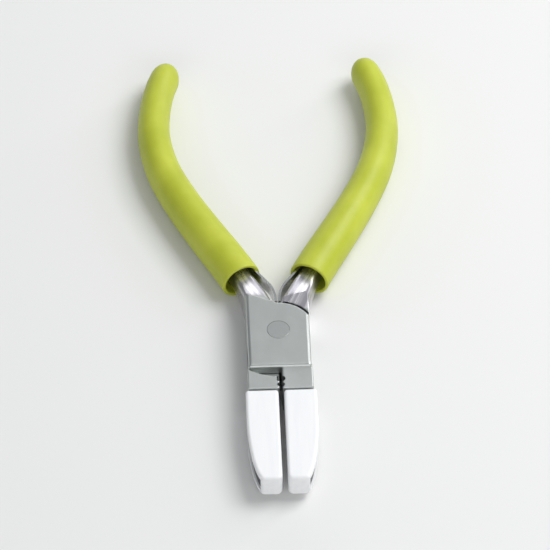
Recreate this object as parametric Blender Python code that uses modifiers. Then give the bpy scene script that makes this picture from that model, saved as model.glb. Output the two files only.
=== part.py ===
"""Crimping pliers with white nylon jaw pads, 128 mm long, lying on one side.

Frame: the origin is the pivot's axis, on the plane that the pliers lie on. +Z is up along the pivot,
+Y runs towards the handle ends and the jaws point along -Y. At rest the jaws are almost closed.

The box half carries the left handle and the right jaw, the tongue half the right handle and the left jaw.
"""

import math

import bmesh
import bpy
from mathutils import Matrix, Vector

MM = 0.001

# ---- driving dimensions, in millimetres ----------------------------------------------------------
JOINT_THICKNESS = 9.6
MID = JOINT_THICKNESS / 2
JOINT_HALF_WIDTH = 7.3
JOINT_FRONT = -10.9
SHOULDER_RADIUS = 8.6  # the arc where the other half's neck comes out of the box
PIN_RADIUS = 2.6
FLUSH_GAP = 0.05  # between pieces that are fixed together
RUNNING_GAP = 0.15  # between pieces that slide past each other
PIN_GAP = 0.08
PIN_HOLE = ((0, 0, -2), (0, 0, JOINT_THICKNESS + 2.4))  # the ends of the cutter

SLOT_HALF_HEIGHT = 2.2
HUB_RADIUS = 5.4
OPEN_SIDE = (math.radians(12.4), math.radians(87))  # angles that the box leaves free for the neck
JAW_SIDE = (math.radians(200.5), math.radians(270.8))  # and for the jaw
SIDE_REACH = 14.5

JAW_FACE = 0.35  # steel inner faces, from the middle plane
ROOT_OUTSIDE = 7.6
ROOT_HALF_HEIGHT = 4.3
ROOT_END = -17.0
BLADE_HALF_HEIGHT = 1.65
BLADE_INSIDE = 3.1
BLADE_OUTSIDE = 6.6
BLADE_END = -41.8
REAR_NOTCH = (-14.25, 0.8)  # place along Y and radius
FRONT_NOTCH = (-16.0, 0.62)
TOOTH_RADIUS = 0.36

PAD_FACE = 0.65
PAD_OUTSIDE = 8.25
PAD_REAR = ROOT_END - 0.2
PAD_TIP = -43.0
PAD_HALF_HEIGHT = 4.1  # at the rear
PAD_TIP_HALF_HEIGHT = 3.1
PAD_NOSE = 0.65  # radius of the tip's inner corner
PAD_CORNER = (3.8, 18.4)  # half axes, along X and Y, of the ellipse that the tip cuts short
PAD_CORNER_START = -25.0
BLADE_TOE = (7.3, -33.2)  # the blade's tip is this wide, from this place on
PAD_LIP = 0.4  # how far the blade's toe stays inside the pad's ellipse
PAD_EDGE = 0.45
CHANNEL_HALF_HEIGHT = 1.8
CHANNEL_FLOOR = 2.9
CHANNEL_END = -42.3

SCREW_PLACES = {"rear": -21.5, "front": -30.0}
SCREW_RADIUS = 0.8
SCREW_HEAD_RADIUS = 1.5
SCREW_HEAD_HEIGHT = 0.9
SCREW_TIP = 1.5
SCREW_GAP = 0.1
SCREW_HOLE = (2.0, 9.0)  # from here to here, outwards from the middle plane
SCREW_SLOT = (0.22, 0.4)  # half width and depth

# The right handle's centre line, from the joint to its rounded end.
HANDLE_ROUTE = [
    (4.4, 9.6),
    (6.0, 14.8),
    (8.4, 20.2),
    (11.5, 26.0),
    (14.9, 32.0),
    (20.5, 42.5),
    (24.7, 52.5),
    (26.6, 62.0),
    (26.4, 70.0),
    (24.8, 78.0),
    (22.0, 84.6),
]
STEPS_PER_POINT = 4
CORE_END = 0.9  # share of the handle's length that the steel reaches

# Half widths along the handle: (share of the route, half width)
CORE_WIDTHS = [(0.0, 2.95), (0.06, 2.6), (0.12, 2.2), (0.2, 1.9), (1.0, 1.3)]
GRIP_START = 0.125
GRIP_WIDTHS = [(0.125, 4.8), (0.25, 4.7), (0.5, 4.2), (0.75, 3.75), (1.0, 3.35)]
GRIP_HEIGHTS = [(0.0, MID), (0.75, MID), (1.0, 4.4)]
GRIP_WALLS = [(0.0, 0.8), (0.32, 0.9), (0.4, 1.25), (1.0, 1.25)]
NO_WALL = [(0.0, 0.0), (1.0, 0.0)]
GRIP_END_LENGTH = 4.2

# The steel's half thickness along Y, behind the joint. The cheeks stand a hair proud of it.
NECK_START = MID - 0.02
NECK_HEIGHTS = [(10.3, NECK_START), (12, 4.3), (14.5, 3.4), (17.5, 2.8), (21, 2.5), (27, 2.3), (90, 2)]

LEAF_THICKNESS = 0.5
LEAF_HALF_WIDTH = 1.7
# The stretch on the handle, as (share of the route, lift off the steel), and then the free stretch.
LEAF_FIXED = [(0.30, 0.0), (0.27, 0.0), (0.24, 0.0), (0.21, 0.05), (0.18, 0.22), (0.155, 0.4), (0.13, 0.58)]
LEAF_RIVET = 0.262
LEAF_FREE = [(3.4, 18.6), (1.5, 16.0), (0.72, 13.9), (0.45, 12.4), (0.42, 11.2)]
LEAF_RIVET_RADIUS = 0.8
LEAF_RIVET_HEAD = 1.3
LEAF_RIVET_HEAD_HEIGHT = 0.5
LEAF_HOLE_REACH = 6.0  # how far the rivet hole's cutter runs to each side of the route

ROUND_STEPS = 48
SMALL_STEPS = 20
GRIP_STEPS = 20

LEFT = -1
RIGHT = 1


# ---- scene and small helpers ---------------------------------------------------------------------
def clear_scene():
    for obj in list(bpy.data.objects):
        bpy.data.objects.remove(obj, do_unlink=True)


def new_collection(name):
    collection = bpy.data.collections.new(name)
    bpy.context.scene.collection.children.link(collection)
    return collection


def material(name, colour, roughness, metallic):
    made = bpy.data.materials.new(name)
    made.use_nodes = True
    shader = made.node_tree.nodes["Principled BSDF"]
    shader.inputs["Base Color"].default_value = (*colour, 1.0)
    shader.inputs["Roughness"].default_value = roughness
    shader.inputs["Metallic"].default_value = metallic
    return made


def add_object(name, mesh, collection):
    obj = bpy.data.objects.new(name, mesh)
    collection.objects.link(obj)
    return obj


def as_cutter(obj):
    obj.hide_render = True
    obj.display_type = "WIRE"
    return obj


def boolean(obj, other, operation):
    modifier = obj.modifiers.new(f"{operation.lower()} {other.name}", "BOOLEAN")
    modifier.operation = operation
    modifier.solver = "EXACT"
    modifier.object = other


def tidy(mesh):
    """Welds coincident points and turns every face outwards."""
    work = bmesh.new()
    work.from_mesh(mesh)
    bmesh.ops.remove_doubles(work, verts=work.verts, dist=1e-7)
    bmesh.ops.recalc_face_normals(work, faces=work.faces)
    work.to_mesh(mesh)
    work.free()


def plate(name, outline, low, high, collection):
    """A flat outline in X and Y, in millimetres, extruded from low to high along Z."""
    curve = bpy.data.curves.new(name + "_outline", "CURVE")
    curve.dimensions = "2D"
    curve.fill_mode = "BOTH"
    curve.extrude = (high - low) / 2 * MM
    spline = curve.splines.new("POLY")
    spline.points.add(len(outline) - 1)
    for point, (x, y) in zip(spline.points, outline):
        point.co = (x * MM, y * MM, 0, 1)
    spline.use_cyclic_u = True
    guide = add_object(name + "_outline", curve, collection)
    bpy.context.view_layer.update()
    graph = bpy.context.evaluated_depsgraph_get()
    mesh = bpy.data.meshes.new_from_object(guide.evaluated_get(graph))
    bpy.data.objects.remove(guide, do_unlink=True)
    mesh.name = name
    mesh.transform(Matrix.Translation((0, 0, (low + high) / 2 * MM)))
    tidy(mesh)
    return add_object(name, mesh, collection)


def side_plate(name, outline, half_width, collection):
    """An outline in Y and Z, extruded along X to both sides of the middle plane."""
    obj = plate(name, outline, -half_width, half_width, collection)
    obj.data.transform(Matrix(((0, 0, 1, 0), (1, 0, 0, 0), (0, 1, 0, 0), (0, 0, 0, 1))))
    return obj


def rod(name, radius, start, end, steps, collection):
    """A round bar between two points, in millimetres."""
    a, b = Vector(start) * MM, Vector(end) * MM
    work = bmesh.new()
    bmesh.ops.create_cone(
        work, cap_ends=True, segments=steps, radius1=radius * MM, radius2=radius * MM, depth=(b - a).length
    )
    turn = (b - a).to_track_quat("Z", "X").to_matrix().to_4x4()
    bmesh.ops.transform(work, matrix=Matrix.Translation((a + b) / 2) @ turn, verts=work.verts)
    mesh = bpy.data.meshes.new(name)
    work.to_mesh(mesh)
    work.free()
    return add_object(name, mesh, collection)


def loft(name, rings, collection):
    """A closed skin over rings that all have the same number of points, with flat ends."""
    work = bmesh.new()
    made = [[work.verts.new(Vector(p) * MM) for p in ring] for ring in rings]
    for near, far in zip(made, made[1:]):
        for i in range(len(near)):
            j = (i + 1) % len(near)
            work.faces.new((near[i], near[j], far[j], far[i]))
    work.faces.new(made[0])
    work.faces.new(made[-1])
    bmesh.ops.recalc_face_normals(work, faces=work.faces)
    mesh = bpy.data.meshes.new(name)
    work.to_mesh(mesh)
    work.free()
    return add_object(name, mesh, collection)


def mirrored(points, side):
    return [(side * x, y) for x, y in points]


def arc(centre, radius, start, end, steps):
    """Points on an arc, angles in radians."""
    angles = [start + (end - start) * i / steps for i in range(steps + 1)]
    return [(centre[0] + radius * math.cos(a), centre[1] + radius * math.sin(a)) for a in angles]


def between(table, at):
    """Straight-line reading of a table of (position, value)."""
    for (p0, v0), (p1, v1) in zip(table, table[1:]):
        if at <= p1:
            return v0 + (v1 - v0) * max(0.0, at - p0) / (p1 - p0)
    return table[-1][1]


# ---- the handle's route --------------------------------------------------------------------------
def smooth_route(points, steps):
    """A Catmull-Rom curve through the points."""
    spots = [Vector(p) for p in points]
    padded = [spots[0], *spots, spots[-1]]
    made = []
    for a, b, c, d in zip(padded, padded[1:], padded[2:], padded[3:]):
        for i in range(steps):
            t = i / steps
            slope, bend, twist = c - a, 2 * a - 5 * b + 4 * c - d, 3 * b - a - 3 * c + d
            made.append((2 * b + slope * t + bend * t**2 + twist * t**3) / 2)
    return [*made, spots[-1]]


class Route:
    """A plane curve that is read by the share of its length."""

    def __init__(self, points):
        self.points = points
        self.lengths = [0.0]
        for a, b in zip(points, points[1:]):
            self.lengths.append(self.lengths[-1] + (b - a).length)
        self.length = self.lengths[-1]

    def at(self, share):
        """(point, unit direction, unit normal to the right) at that share of the length."""
        goal = share * self.length
        last = len(self.points) - 2
        i = next((k for k in range(last + 1) if self.lengths[k + 1] >= goal), last)
        a, b = self.points[i], self.points[i + 1]
        before, after = self.points[max(i - 1, 0)], self.points[min(i + 2, last + 1)]
        t = (goal - self.lengths[i]) / (self.lengths[i + 1] - self.lengths[i])
        direction = ((b - before).normalized() * (1 - t) + (after - a).normalized() * t).normalized()
        return a.lerp(b, t), direction, Vector((direction.y, -direction.x))


HANDLE = Route(smooth_route(HANDLE_ROUTE, STEPS_PER_POINT))


def handle_outline():
    """The right handle's steel, seen from above: out along its outer side and back along its inner side."""
    shares = [CORE_END * i / 30 for i in range(31)]
    outer, inner = [], []
    for share in shares:
        point, _, right = HANDLE.at(share)
        width = between(CORE_WIDTHS, share)
        outer.append(tuple(point + right * width))
        inner.append(tuple(point - right * width))
    end, direction, right = HANDLE.at(CORE_END)
    width = between(CORE_WIDTHS, CORE_END)
    turns = [math.pi * i / 6 for i in range(1, 6)]
    cap = [tuple(end + right * width * math.cos(a) + direction * width * math.sin(a)) for a in turns]
    return outer + cap + inner[::-1]


# ---- outlines of the joint and the jaws ----------------------------------------------------------
def cheek():
    """The box's cheek: an arc at the back, a straight edge at the front with slightly flared corners."""
    w = JOINT_HALF_WIDTH
    turn = math.asin(w / SHOULDER_RADIUS)
    rear = arc((0, 0), SHOULDER_RADIUS, math.pi / 2 - turn, math.pi / 2 + turn, 14)
    front = JOINT_FRONT
    return [*rear, (-w, front + 1.2), (-w - 0.3, front), (w + 0.3, front), (w, front + 1.2)]


def neck_root():
    """The right handle's root, down to the hub."""
    side = JOINT_HALF_WIDTH - 0.05
    return [(1.0, 5.3), (4.2, 2.7), (side, 4.6), (side, 11.4), (7.0, 12.2), (1.7, 11.4), (1.4, 9.8)]


def jaw_root():
    """The right jaw, from the hub to where the blade starts, with no notch."""
    w = JOINT_HALF_WIDTH
    return [
        (JAW_FACE, -5.4),
        (JAW_FACE, ROOT_END),
        (ROOT_OUTSIDE, ROOT_END),
        (w + 0.25, JOINT_FRONT),
        (w - 0.05, JOINT_FRONT + 1.2),
        (w - 0.05, -6.25),
        (4.2, -3.55),
    ]


def tip_corner(outside, start_x, end_y, steps):
    """Points up the tip's outer corner, part of an ellipse, from depth end_y back to width start_x."""
    reach, drop = PAD_CORNER
    first = math.acos(1 - (outside - start_x) / reach)
    last = math.asin((PAD_CORNER_START - end_y) / drop)
    angles = [last + (first - last) * i / steps for i in range(steps + 1)]
    return [(outside - reach * (1 - math.cos(a)), PAD_CORNER_START - drop * math.sin(a)) for a in angles]


def blade():
    """The thin end of the right jaw, inside the pad. Its toe swells out and follows the pad's corner."""
    toe_width, toe_start = BLADE_TOE
    return [
        (BLADE_INSIDE, ROOT_END + 1.0),
        (BLADE_INSIDE, BLADE_END),
        *tip_corner(PAD_OUTSIDE - PAD_LIP, toe_width, BLADE_END, 5),
        (BLADE_OUTSIDE, toe_start),
        (BLADE_OUTSIDE, ROOT_END + 1.0),
    ]


def side_outline():
    """The steel's thickness from the jaw's root to the handle's end, as an outline in Y and Z."""
    upper = [
        (ROOT_END - 1, ROOT_HALF_HEIGHT),
        (JOINT_FRONT + 0.5, ROOT_HALF_HEIGHT),
        (JOINT_FRONT + 0.5, MID - 0.02),
        *NECK_HEIGHTS,
    ]
    return [(y, MID + z) for y, z in upper] + [(y, MID - z) for y, z in upper[::-1]]


def sector(angles, radius):
    return [(0.0, 0.0), *arc((0, 0), radius, *angles, 8)]


def pad_outline():
    """The right pad, seen from above."""
    inner = arc((PAD_FACE + PAD_NOSE, PAD_TIP + PAD_NOSE), PAD_NOSE, math.pi, 1.5 * math.pi, 3)
    corner = tip_corner(PAD_OUTSIDE, PAD_OUTSIDE, PAD_TIP, 8)
    return [(PAD_OUTSIDE, PAD_REAR), (PAD_FACE, PAD_REAR), *inner, *corner]


# ---- steel halves --------------------------------------------------------------------------------
def steel_half(name, handle_side, hub_radius, parts, helpers):
    """Handle, joint and jaw in one piece: seen from above on one side, cut to thickness from the side."""
    half = rod(name, hub_radius, (0, 0, -1), (0, 0, JOINT_THICKNESS + 1), ROUND_STEPS, parts)
    outlines = {
        "handle": mirrored(handle_outline(), handle_side),
        "neck": mirrored(neck_root(), handle_side),
        "root": mirrored(jaw_root(), -handle_side),
    }
    for part, outline in outlines.items():
        boolean(half, as_cutter(plate(f"{name}_{part}", outline, -1, JOINT_THICKNESS + 1, helpers)), "UNION")
    boolean(half, as_cutter(side_plate(name + "_profile", side_outline(), 40, helpers)), "INTERSECT")
    low, high = MID - BLADE_HALF_HEIGHT, MID + BLADE_HALF_HEIGHT
    thin = plate(name + "_blade", mirrored(blade(), -handle_side), low, high, helpers)
    boolean(half, as_cutter(thin), "UNION")
    return half


def cut_notches(half, jaw_side, has_tooth, helpers):
    """The crimping station behind the pads: a plain front notch, and a rear one with a tooth on one jaw."""
    low, high = -1, JOINT_THICKNESS + 1
    cutters = []
    for word, (y, radius) in (("front", FRONT_NOTCH), ("rear", REAR_NOTCH)):
        outline = arc((jaw_side * (JAW_FACE - 0.05), y), radius, 0, 2 * math.pi, 16)[:-1]
        cutters.append(as_cutter(plate(f"{half.name}_{word}_notch", outline, low, high, helpers)))
    if has_tooth:
        y, radius = REAR_NOTCH
        outline = arc((jaw_side * (JAW_FACE + radius), y), TOOTH_RADIUS, 0, 2 * math.pi, 12)[:-1]
        tooth = plate(half.name + "_tooth", outline, low - 1, high + 1, helpers)
        boolean(cutters[1], as_cutter(tooth), "DIFFERENCE")
    for cutter in cutters:
        boolean(half, cutter, "DIFFERENCE")


def drill_for_screws(half, jaw_side, helpers):
    for place, y in SCREW_PLACES.items():
        start, end = [(jaw_side * x, y, MID) for x in SCREW_HOLE]
        hole = rod(f"{half.name}_{place}_hole", SCREW_RADIUS + SCREW_GAP, start, end, SMALL_STEPS, helpers)
        boolean(half, as_cutter(hole), "DIFFERENCE")


def drill_for_leaf_rivet(half, handle_side, helpers):
    point, _, right = HANDLE.at(LEAF_RIVET)
    ends = [point - right * LEAF_HOLE_REACH, point + right * LEAF_HOLE_REACH]
    start, end = [(handle_side * p.x, p.y, MID) for p in ends]
    hole = rod(half.name + "_leaf_hole", LEAF_RIVET_RADIUS + FLUSH_GAP, start, end, SMALL_STEPS, helpers)
    boolean(half, as_cutter(hole), "DIFFERENCE")


def box_half(parts, helpers):
    """The half whose two cheeks form the box. Its slot lets the other half's tongue swing."""
    half = steel_half("box_half", LEFT, HUB_RADIUS, parts, helpers)
    boolean(half, as_cutter(plate("box_half_cheek", cheek(), 0, JOINT_THICKNESS, helpers)), "UNION")

    low, high = MID - SLOT_HALF_HEIGHT, MID + SLOT_HALF_HEIGHT
    slot = rod("box_half_slot", HUB_RADIUS + RUNNING_GAP, (0, 0, low), (0, 0, high), ROUND_STEPS, helpers)
    for name, angles in {"neck": OPEN_SIDE, "jaw": JAW_SIDE}.items():
        side = plate(f"box_half_{name}_side", sector(angles, SIDE_REACH), low, high, helpers)
        boolean(slot, as_cutter(side), "UNION")
    boolean(half, as_cutter(slot), "DIFFERENCE")
    hole = rod("box_half_pin_hole", PIN_RADIUS + FLUSH_GAP, *PIN_HOLE, ROUND_STEPS, helpers)
    boolean(half, as_cutter(hole), "DIFFERENCE")
    cut_notches(half, RIGHT, False, helpers)
    drill_for_screws(half, RIGHT, helpers)
    drill_for_leaf_rivet(half, LEFT, helpers)
    return half


def tongue_half(parts, helpers):
    """The half that passes through the box. Above and below its tongue it is cut back to an arc."""
    half = steel_half("tongue_half", RIGHT, HUB_RADIUS, parts, helpers)
    tongue = SLOT_HALF_HEIGHT - RUNNING_GAP
    corner = math.hypot(JOINT_HALF_WIDTH + 0.3, JOINT_FRONT)
    back = arc((0, 0), SHOULDER_RADIUS + RUNNING_GAP, 0, math.pi, 40)
    front = arc((0, 0), corner + RUNNING_GAP, math.pi, 2 * math.pi, 40)
    for name, low, high in (("under", -2, MID - tongue), ("over", MID + tongue, JOINT_THICKNESS + 2)):
        room = plate(f"tongue_half_{name}", back + front, low, high, helpers)
        boolean(half, as_cutter(room), "DIFFERENCE")
    hole = rod("tongue_half_pin_hole", PIN_RADIUS + PIN_GAP, *PIN_HOLE, ROUND_STEPS, helpers)
    boolean(half, as_cutter(hole), "DIFFERENCE")
    cut_notches(half, LEFT, True, helpers)
    drill_for_screws(half, LEFT, helpers)
    drill_for_leaf_rivet(half, RIGHT, helpers)
    return half


# ---- pads, screws, grips and springs -------------------------------------------------------------
def thin_towards_tip(pad):
    """Brings a pad's top and bottom together evenly, from full height at the rear to the tip's height."""
    for corner in pad.data.vertices:
        depth = (corner.co.y / MM - PAD_REAR) / (PAD_TIP - PAD_REAR)
        share = 1 + depth * (PAD_TIP_HALF_HEIGHT / PAD_HALF_HEIGHT - 1)
        corner.co.z = MID * MM + (corner.co.z - MID * MM) * share


def jaw_pad(name, side, parts, helpers):
    """A nylon pad with a channel in its outer side for the jaw's blade, closed at the tip."""
    pad = plate(name, mirrored(pad_outline(), side), MID - PAD_HALF_HEIGHT, MID + PAD_HALF_HEIGHT, parts)
    thin_towards_tip(pad)
    edges = pad.modifiers.new("rounded edges", "BEVEL")
    edges.width = PAD_EDGE * MM
    edges.segments = 2
    edges.limit_method = "ANGLE"
    edges.angle_limit = math.radians(40)
    x0, x1 = CHANNEL_FLOOR, PAD_OUTSIDE + 2
    y0, y1 = CHANNEL_END, PAD_REAR + 2
    channel = mirrored([(x0, y0), (x1, y0), (x1, y1), (x0, y1)], side)
    low, high = MID - CHANNEL_HALF_HEIGHT, MID + CHANNEL_HALF_HEIGHT
    boolean(pad, as_cutter(plate(name + "_channel", channel, low, high, helpers)), "DIFFERENCE")
    for place, y in SCREW_PLACES.items():
        start, end = (side * (SCREW_TIP - 0.1), y, MID), (side * 5, y, MID)
        hole = rod(f"{name}_{place}_hole", SCREW_RADIUS + FLUSH_GAP, start, end, SMALL_STEPS, helpers)
        boolean(pad, as_cutter(hole), "DIFFERENCE")
    return pad


def pad_screw(name, side, y, parts, helpers):
    """A slotted cheese-head screw that holds a pad on the blade."""
    seat = BLADE_OUTSIDE + FLUSH_GAP
    top = seat + SCREW_HEAD_HEIGHT
    screw = rod(name, SCREW_HEAD_RADIUS, (side * seat, y, MID), (side * top, y, MID), SMALL_STEPS, parts)
    start, end = (side * SCREW_TIP, y, MID), (side * (seat + 0.3), y, MID)
    shank = rod(name + "_shank", SCREW_RADIUS, start, end, SMALL_STEPS, helpers)
    boolean(screw, as_cutter(shank), "UNION")
    half_slot, depth = SCREW_SLOT
    x0, x1 = sorted((side * (top - depth), side * (top + 1)))
    slot = [(x0, y - half_slot), (x1, y - half_slot), (x1, y + half_slot), (x0, y + half_slot)]
    boolean(screw, as_cutter(plate(name + "_slot", slot, MID - 3, MID + 3, helpers)), "DIFFERENCE")
    return screw


def grip_ring(share, half_width, half_height, side):
    """One oval section of a grip, square to the handle's route."""
    point, _, right = HANDLE.at(share)
    ring = []
    for i in range(GRIP_STEPS):
        a = 2 * math.pi * i / GRIP_STEPS
        p = point + right * half_width * math.cos(a)
        ring.append((side * p.x, p.y, MID + half_height * math.sin(a)))
    return ring


def grip_rings(start, end, walls, side):
    """Sections of the grip's skin, drawn in by the wall there, with a rounded end."""
    end_share = GRIP_END_LENGTH / HANDLE.length
    body = [(start + (end - end_share - start) * i / 17, 1.0) for i in range(18)]
    turns = [math.radians(a) for a in (20, 40, 58, 74, 85)]
    cap = [(end - end_share * (1 - math.sin(a)), math.cos(a)) for a in turns]
    rings = []
    for share, size in body + cap:
        wall = between(walls, share)
        width = between(GRIP_WIDTHS, share) - wall
        height = between(GRIP_HEIGHTS, share) - wall
        rings.append(grip_ring(share, width * size, height * size, side))
    return rings


def grip(name, side, parts, helpers):
    """A dipped sleeve: open at the joint's end, closed and rounded at the other."""
    sleeve = loft(name, grip_rings(GRIP_START, 1.0, NO_WALL, side), parts)
    inside = loft(name + "_inside", grip_rings(GRIP_START - 0.02, 0.98, GRIP_WALLS, side), helpers)
    boolean(sleeve, as_cutter(inside), "DIFFERENCE")
    return sleeve


def leaf_spring(name, side, parts, helpers):
    """A flat spring: riveted to its handle under the grip, its free end against the other leaf."""
    gap = FLUSH_GAP + LEAF_THICKNESS
    root = []
    for share, lift in LEAF_FIXED:
        point, _, right = HANDLE.at(share)
        root.append(point - right * (between(CORE_WIDTHS, share) + gap + lift))
    line = Route(smooth_route(root + LEAF_FREE, 3))
    shares = [i / 26 for i in range(27)]
    face, back = [], []
    for share in shares:
        point, direction, right = line.at(share)
        face.append(tuple(point))
        back.append(tuple(point - right * LEAF_THICKNESS))
    outline = mirrored(face + back[::-1], side)
    leaf = plate(name, outline, MID - LEAF_HALF_WIDTH, MID + LEAF_HALF_WIDTH, parts)
    point, _, right = HANDLE.at(LEAF_RIVET)
    ends = [point - right * LEAF_HOLE_REACH, point]
    start, end = [(side * p.x, p.y, MID) for p in ends]
    hole = rod(name + "_hole", LEAF_RIVET_RADIUS + FLUSH_GAP, start, end, SMALL_STEPS, helpers)
    boolean(leaf, as_cutter(hole), "DIFFERENCE")
    return leaf


def leaf_rivet(name, side, parts, helpers):
    """The rivet that holds a leaf: its head on the leaf, its end flush with the steel's outer side."""
    point, _, right = HANDLE.at(LEAF_RIVET)
    core = between(CORE_WIDTHS, LEAF_RIVET)
    inner = core + 2 * FLUSH_GAP + LEAF_THICKNESS
    distances = (-inner - LEAF_RIVET_HEAD_HEIGHT, -inner - 0.02, core)
    spots = [point + right * distance for distance in distances]
    top, under, end = [(side * p.x, p.y, MID) for p in spots]
    rivet = rod(name, LEAF_RIVET_HEAD, top, under, SMALL_STEPS, parts)
    inside_head = tuple((a + b) / 2 for a, b in zip(top, under))
    shank = rod(name + "_shank", LEAF_RIVET_RADIUS, inside_head, end, SMALL_STEPS, helpers)
    boolean(rivet, as_cutter(shank), "UNION")
    return rivet


# ---- assembly ------------------------------------------------------------------------------------
def finish(obj, look, parent, is_round=False):
    obj.data.materials.clear()
    obj.data.materials.append(look)
    obj.parent = parent
    if is_round:
        obj.data.shade_smooth()
        obj.data.set_sharp_from_angle(angle=math.radians(35))


def main():
    clear_scene()
    parts = new_collection("crimping_pliers")
    helpers = new_collection("cutters")
    helpers.hide_render = True
    box_side = add_object("box_side", None, parts)
    tongue_side = add_object("tongue_side", None, parts)
    steel = material("satin steel", (0.62, 0.64, 0.64), 0.35, 1.0)
    spring_steel = material("spring steel", (0.7, 0.7, 0.7), 0.25, 1.0)
    lime = material("lime vinyl", (0.52, 0.62, 0.07), 0.45, 0.0)
    nylon = material("white nylon", (0.9, 0.91, 0.92), 0.4, 0.0)

    rivet = rod("pivot_rivet", PIN_RADIUS, (0, 0, 0), (0, 0, JOINT_THICKNESS), ROUND_STEPS, parts)
    finish(box_half(parts, helpers), steel, box_side)
    finish(tongue_half(parts, helpers), steel, tongue_side)
    finish(rivet, steel, box_side, is_round=True)
    sides = (("left", LEFT, box_side, tongue_side), ("right", RIGHT, tongue_side, box_side))
    for word, side, handle, jaw in sides:
        finish(grip(f"{word}_grip", side, parts, helpers), lime, handle, is_round=True)
        finish(leaf_spring(f"{word}_leaf_spring", side, parts, helpers), spring_steel, handle)
        finish(leaf_rivet(f"{word}_spring_rivet", side, parts, helpers), spring_steel, handle, is_round=True)
        finish(jaw_pad(f"{word}_jaw_pad", side, parts, helpers), nylon, jaw)
        for place, y in SCREW_PLACES.items():
            screw = pad_screw(f"{word}_pad_screw_{place}", side, y, parts, helpers)
            finish(screw, spring_steel, jaw, is_round=True)


main()
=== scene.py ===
# %% [markdown]
# # Crimping pliers with soft jaw covers
# These are small hand pliers for jewellery work. Two steel halves cross at a box joint, two leaf springs push
# the handles apart, the handles wear dipped vinyl grips, and white nylon covers sit on the jaws. Behind the
# covers the steel has two crimping notches. The lesson builds each piece on the frame that the engineering
# model gives.

import math

import bmesh
import bpy
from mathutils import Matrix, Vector


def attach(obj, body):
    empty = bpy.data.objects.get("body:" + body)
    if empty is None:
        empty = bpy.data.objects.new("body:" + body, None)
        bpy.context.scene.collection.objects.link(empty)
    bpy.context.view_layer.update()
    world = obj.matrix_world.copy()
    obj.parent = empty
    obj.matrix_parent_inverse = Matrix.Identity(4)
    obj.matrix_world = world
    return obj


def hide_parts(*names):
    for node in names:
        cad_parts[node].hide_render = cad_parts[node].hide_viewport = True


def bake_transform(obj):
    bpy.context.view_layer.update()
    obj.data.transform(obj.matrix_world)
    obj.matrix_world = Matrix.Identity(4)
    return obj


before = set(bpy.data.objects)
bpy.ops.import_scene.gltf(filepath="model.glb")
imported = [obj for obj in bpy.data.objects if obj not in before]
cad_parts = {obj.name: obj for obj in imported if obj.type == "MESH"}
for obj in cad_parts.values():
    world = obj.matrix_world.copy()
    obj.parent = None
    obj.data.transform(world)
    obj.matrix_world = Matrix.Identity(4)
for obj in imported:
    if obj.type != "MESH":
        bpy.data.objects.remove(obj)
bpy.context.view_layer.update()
MM = 0.001

# %% [markdown]
# The camera comes first, so that every later choice can be judged from the same place. The pliers lie flat
# with their jaws towards the viewer, who looks down at them from about fifty degrees. A long lens keeps the
# two handles even.

# %% Camera
ELEVATION = math.radians(50)
TURN = math.radians(-2.2)
TARGET = Vector((0.0, 20.5, 4.8)) * MM
DISTANCE = 3.55
LENS_LENGTH = 1000
level = math.cos(ELEVATION)
back = Vector((math.sin(TURN) * level, -math.cos(TURN) * level, math.sin(ELEVATION)))
lens = bpy.data.cameras.new("long_lens")
lens.lens = LENS_LENGTH
camera = bpy.data.objects.new("camera", lens)
bpy.context.scene.collection.objects.link(camera)
camera.location = TARGET + back * DISTANCE
camera.rotation_euler = (-back).to_track_quat("-Z", "Y").to_euler()
bpy.context.scene.camera = camera
bpy.context.scene.view_settings.view_transform = "Standard"
print("camera at", [round(x, 3) for x in camera.location])

# %% [markdown]
# The floor is plain and pale. It lies a hair lower than the pliers, because two faces at one height would
# fight over which of them shows. One large soft light hangs at the upper right, and a long narrow one below
# it draws the bright lines that polished steel needs. The world is a quiet grey, because metal only looks
# like metal when it has something darker to mirror.

# %% Floor, lights and world
FLOOR_SIZE = 4
FLOOR_DROP = 0.02
WORLD_GREY = (0.72, 0.75, 0.78, 1)
WORLD_STRENGTH = 0.35

bpy.ops.mesh.primitive_plane_add(size=FLOOR_SIZE, location=(0, 0, -FLOOR_DROP * MM))
floor = bpy.context.object
floor.name = "floor"


def soft_light(name, spot, size, power):
    """A rectangular light at a place in metres, turned towards the pliers."""
    lamp = bpy.data.lights.new(name, "AREA")
    lamp.shape = "RECTANGLE"
    lamp.size, lamp.size_y = size
    lamp.energy = power
    holder = bpy.data.objects.new(name, lamp)
    bpy.context.scene.collection.objects.link(holder)
    holder.location = spot
    holder.rotation_euler = (TARGET - Vector(spot)).to_track_quat("-Z", "Y").to_euler()


soft_light("key_light", (0.45, 0.22, 0.75), (0.55, 0.55), 5.8)
soft_light("back_panel", (0.05, 0.95, 0.95), (1.1, 0.5), 0.3)
soft_light("low_back_panel", (0.0, 1.3, 0.44), (1.3, 0.34), 3.0)
soft_light("right_strip", (0.62, 0.45, 0.2), (0.08, 0.6), 1.1)
soft_light("front_card", (0.0, -0.85, 0.62), (1.4, 0.5), 4.2)
world = bpy.data.worlds.new("quiet_grey")
world.use_nodes = True
world.node_tree.nodes["Background"].inputs["Color"].default_value = WORLD_GREY
world.node_tree.nodes["Background"].inputs["Strength"].default_value = WORLD_STRENGTH
bpy.context.scene.world = world
print("lights:", len(bpy.data.lights))

# %% [markdown]
# Every finish below is a small chain of nodes round one Principled shader. All of them read Object
# coordinates, which are in metres. A Mapping node of the Texture kind divides them by the size of a grain, so
# the helper can take that size in millimetres, and a grain that is long one way gives the lines that brushing
# and polishing leave.


# %% Node helpers
def new_finish(name):
    """A material with its shader and node tree."""
    finish = bpy.data.materials.new(name)
    finish.use_nodes = True
    tree = finish.node_tree
    return finish, tree, tree.nodes["Principled BSDF"]


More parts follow.
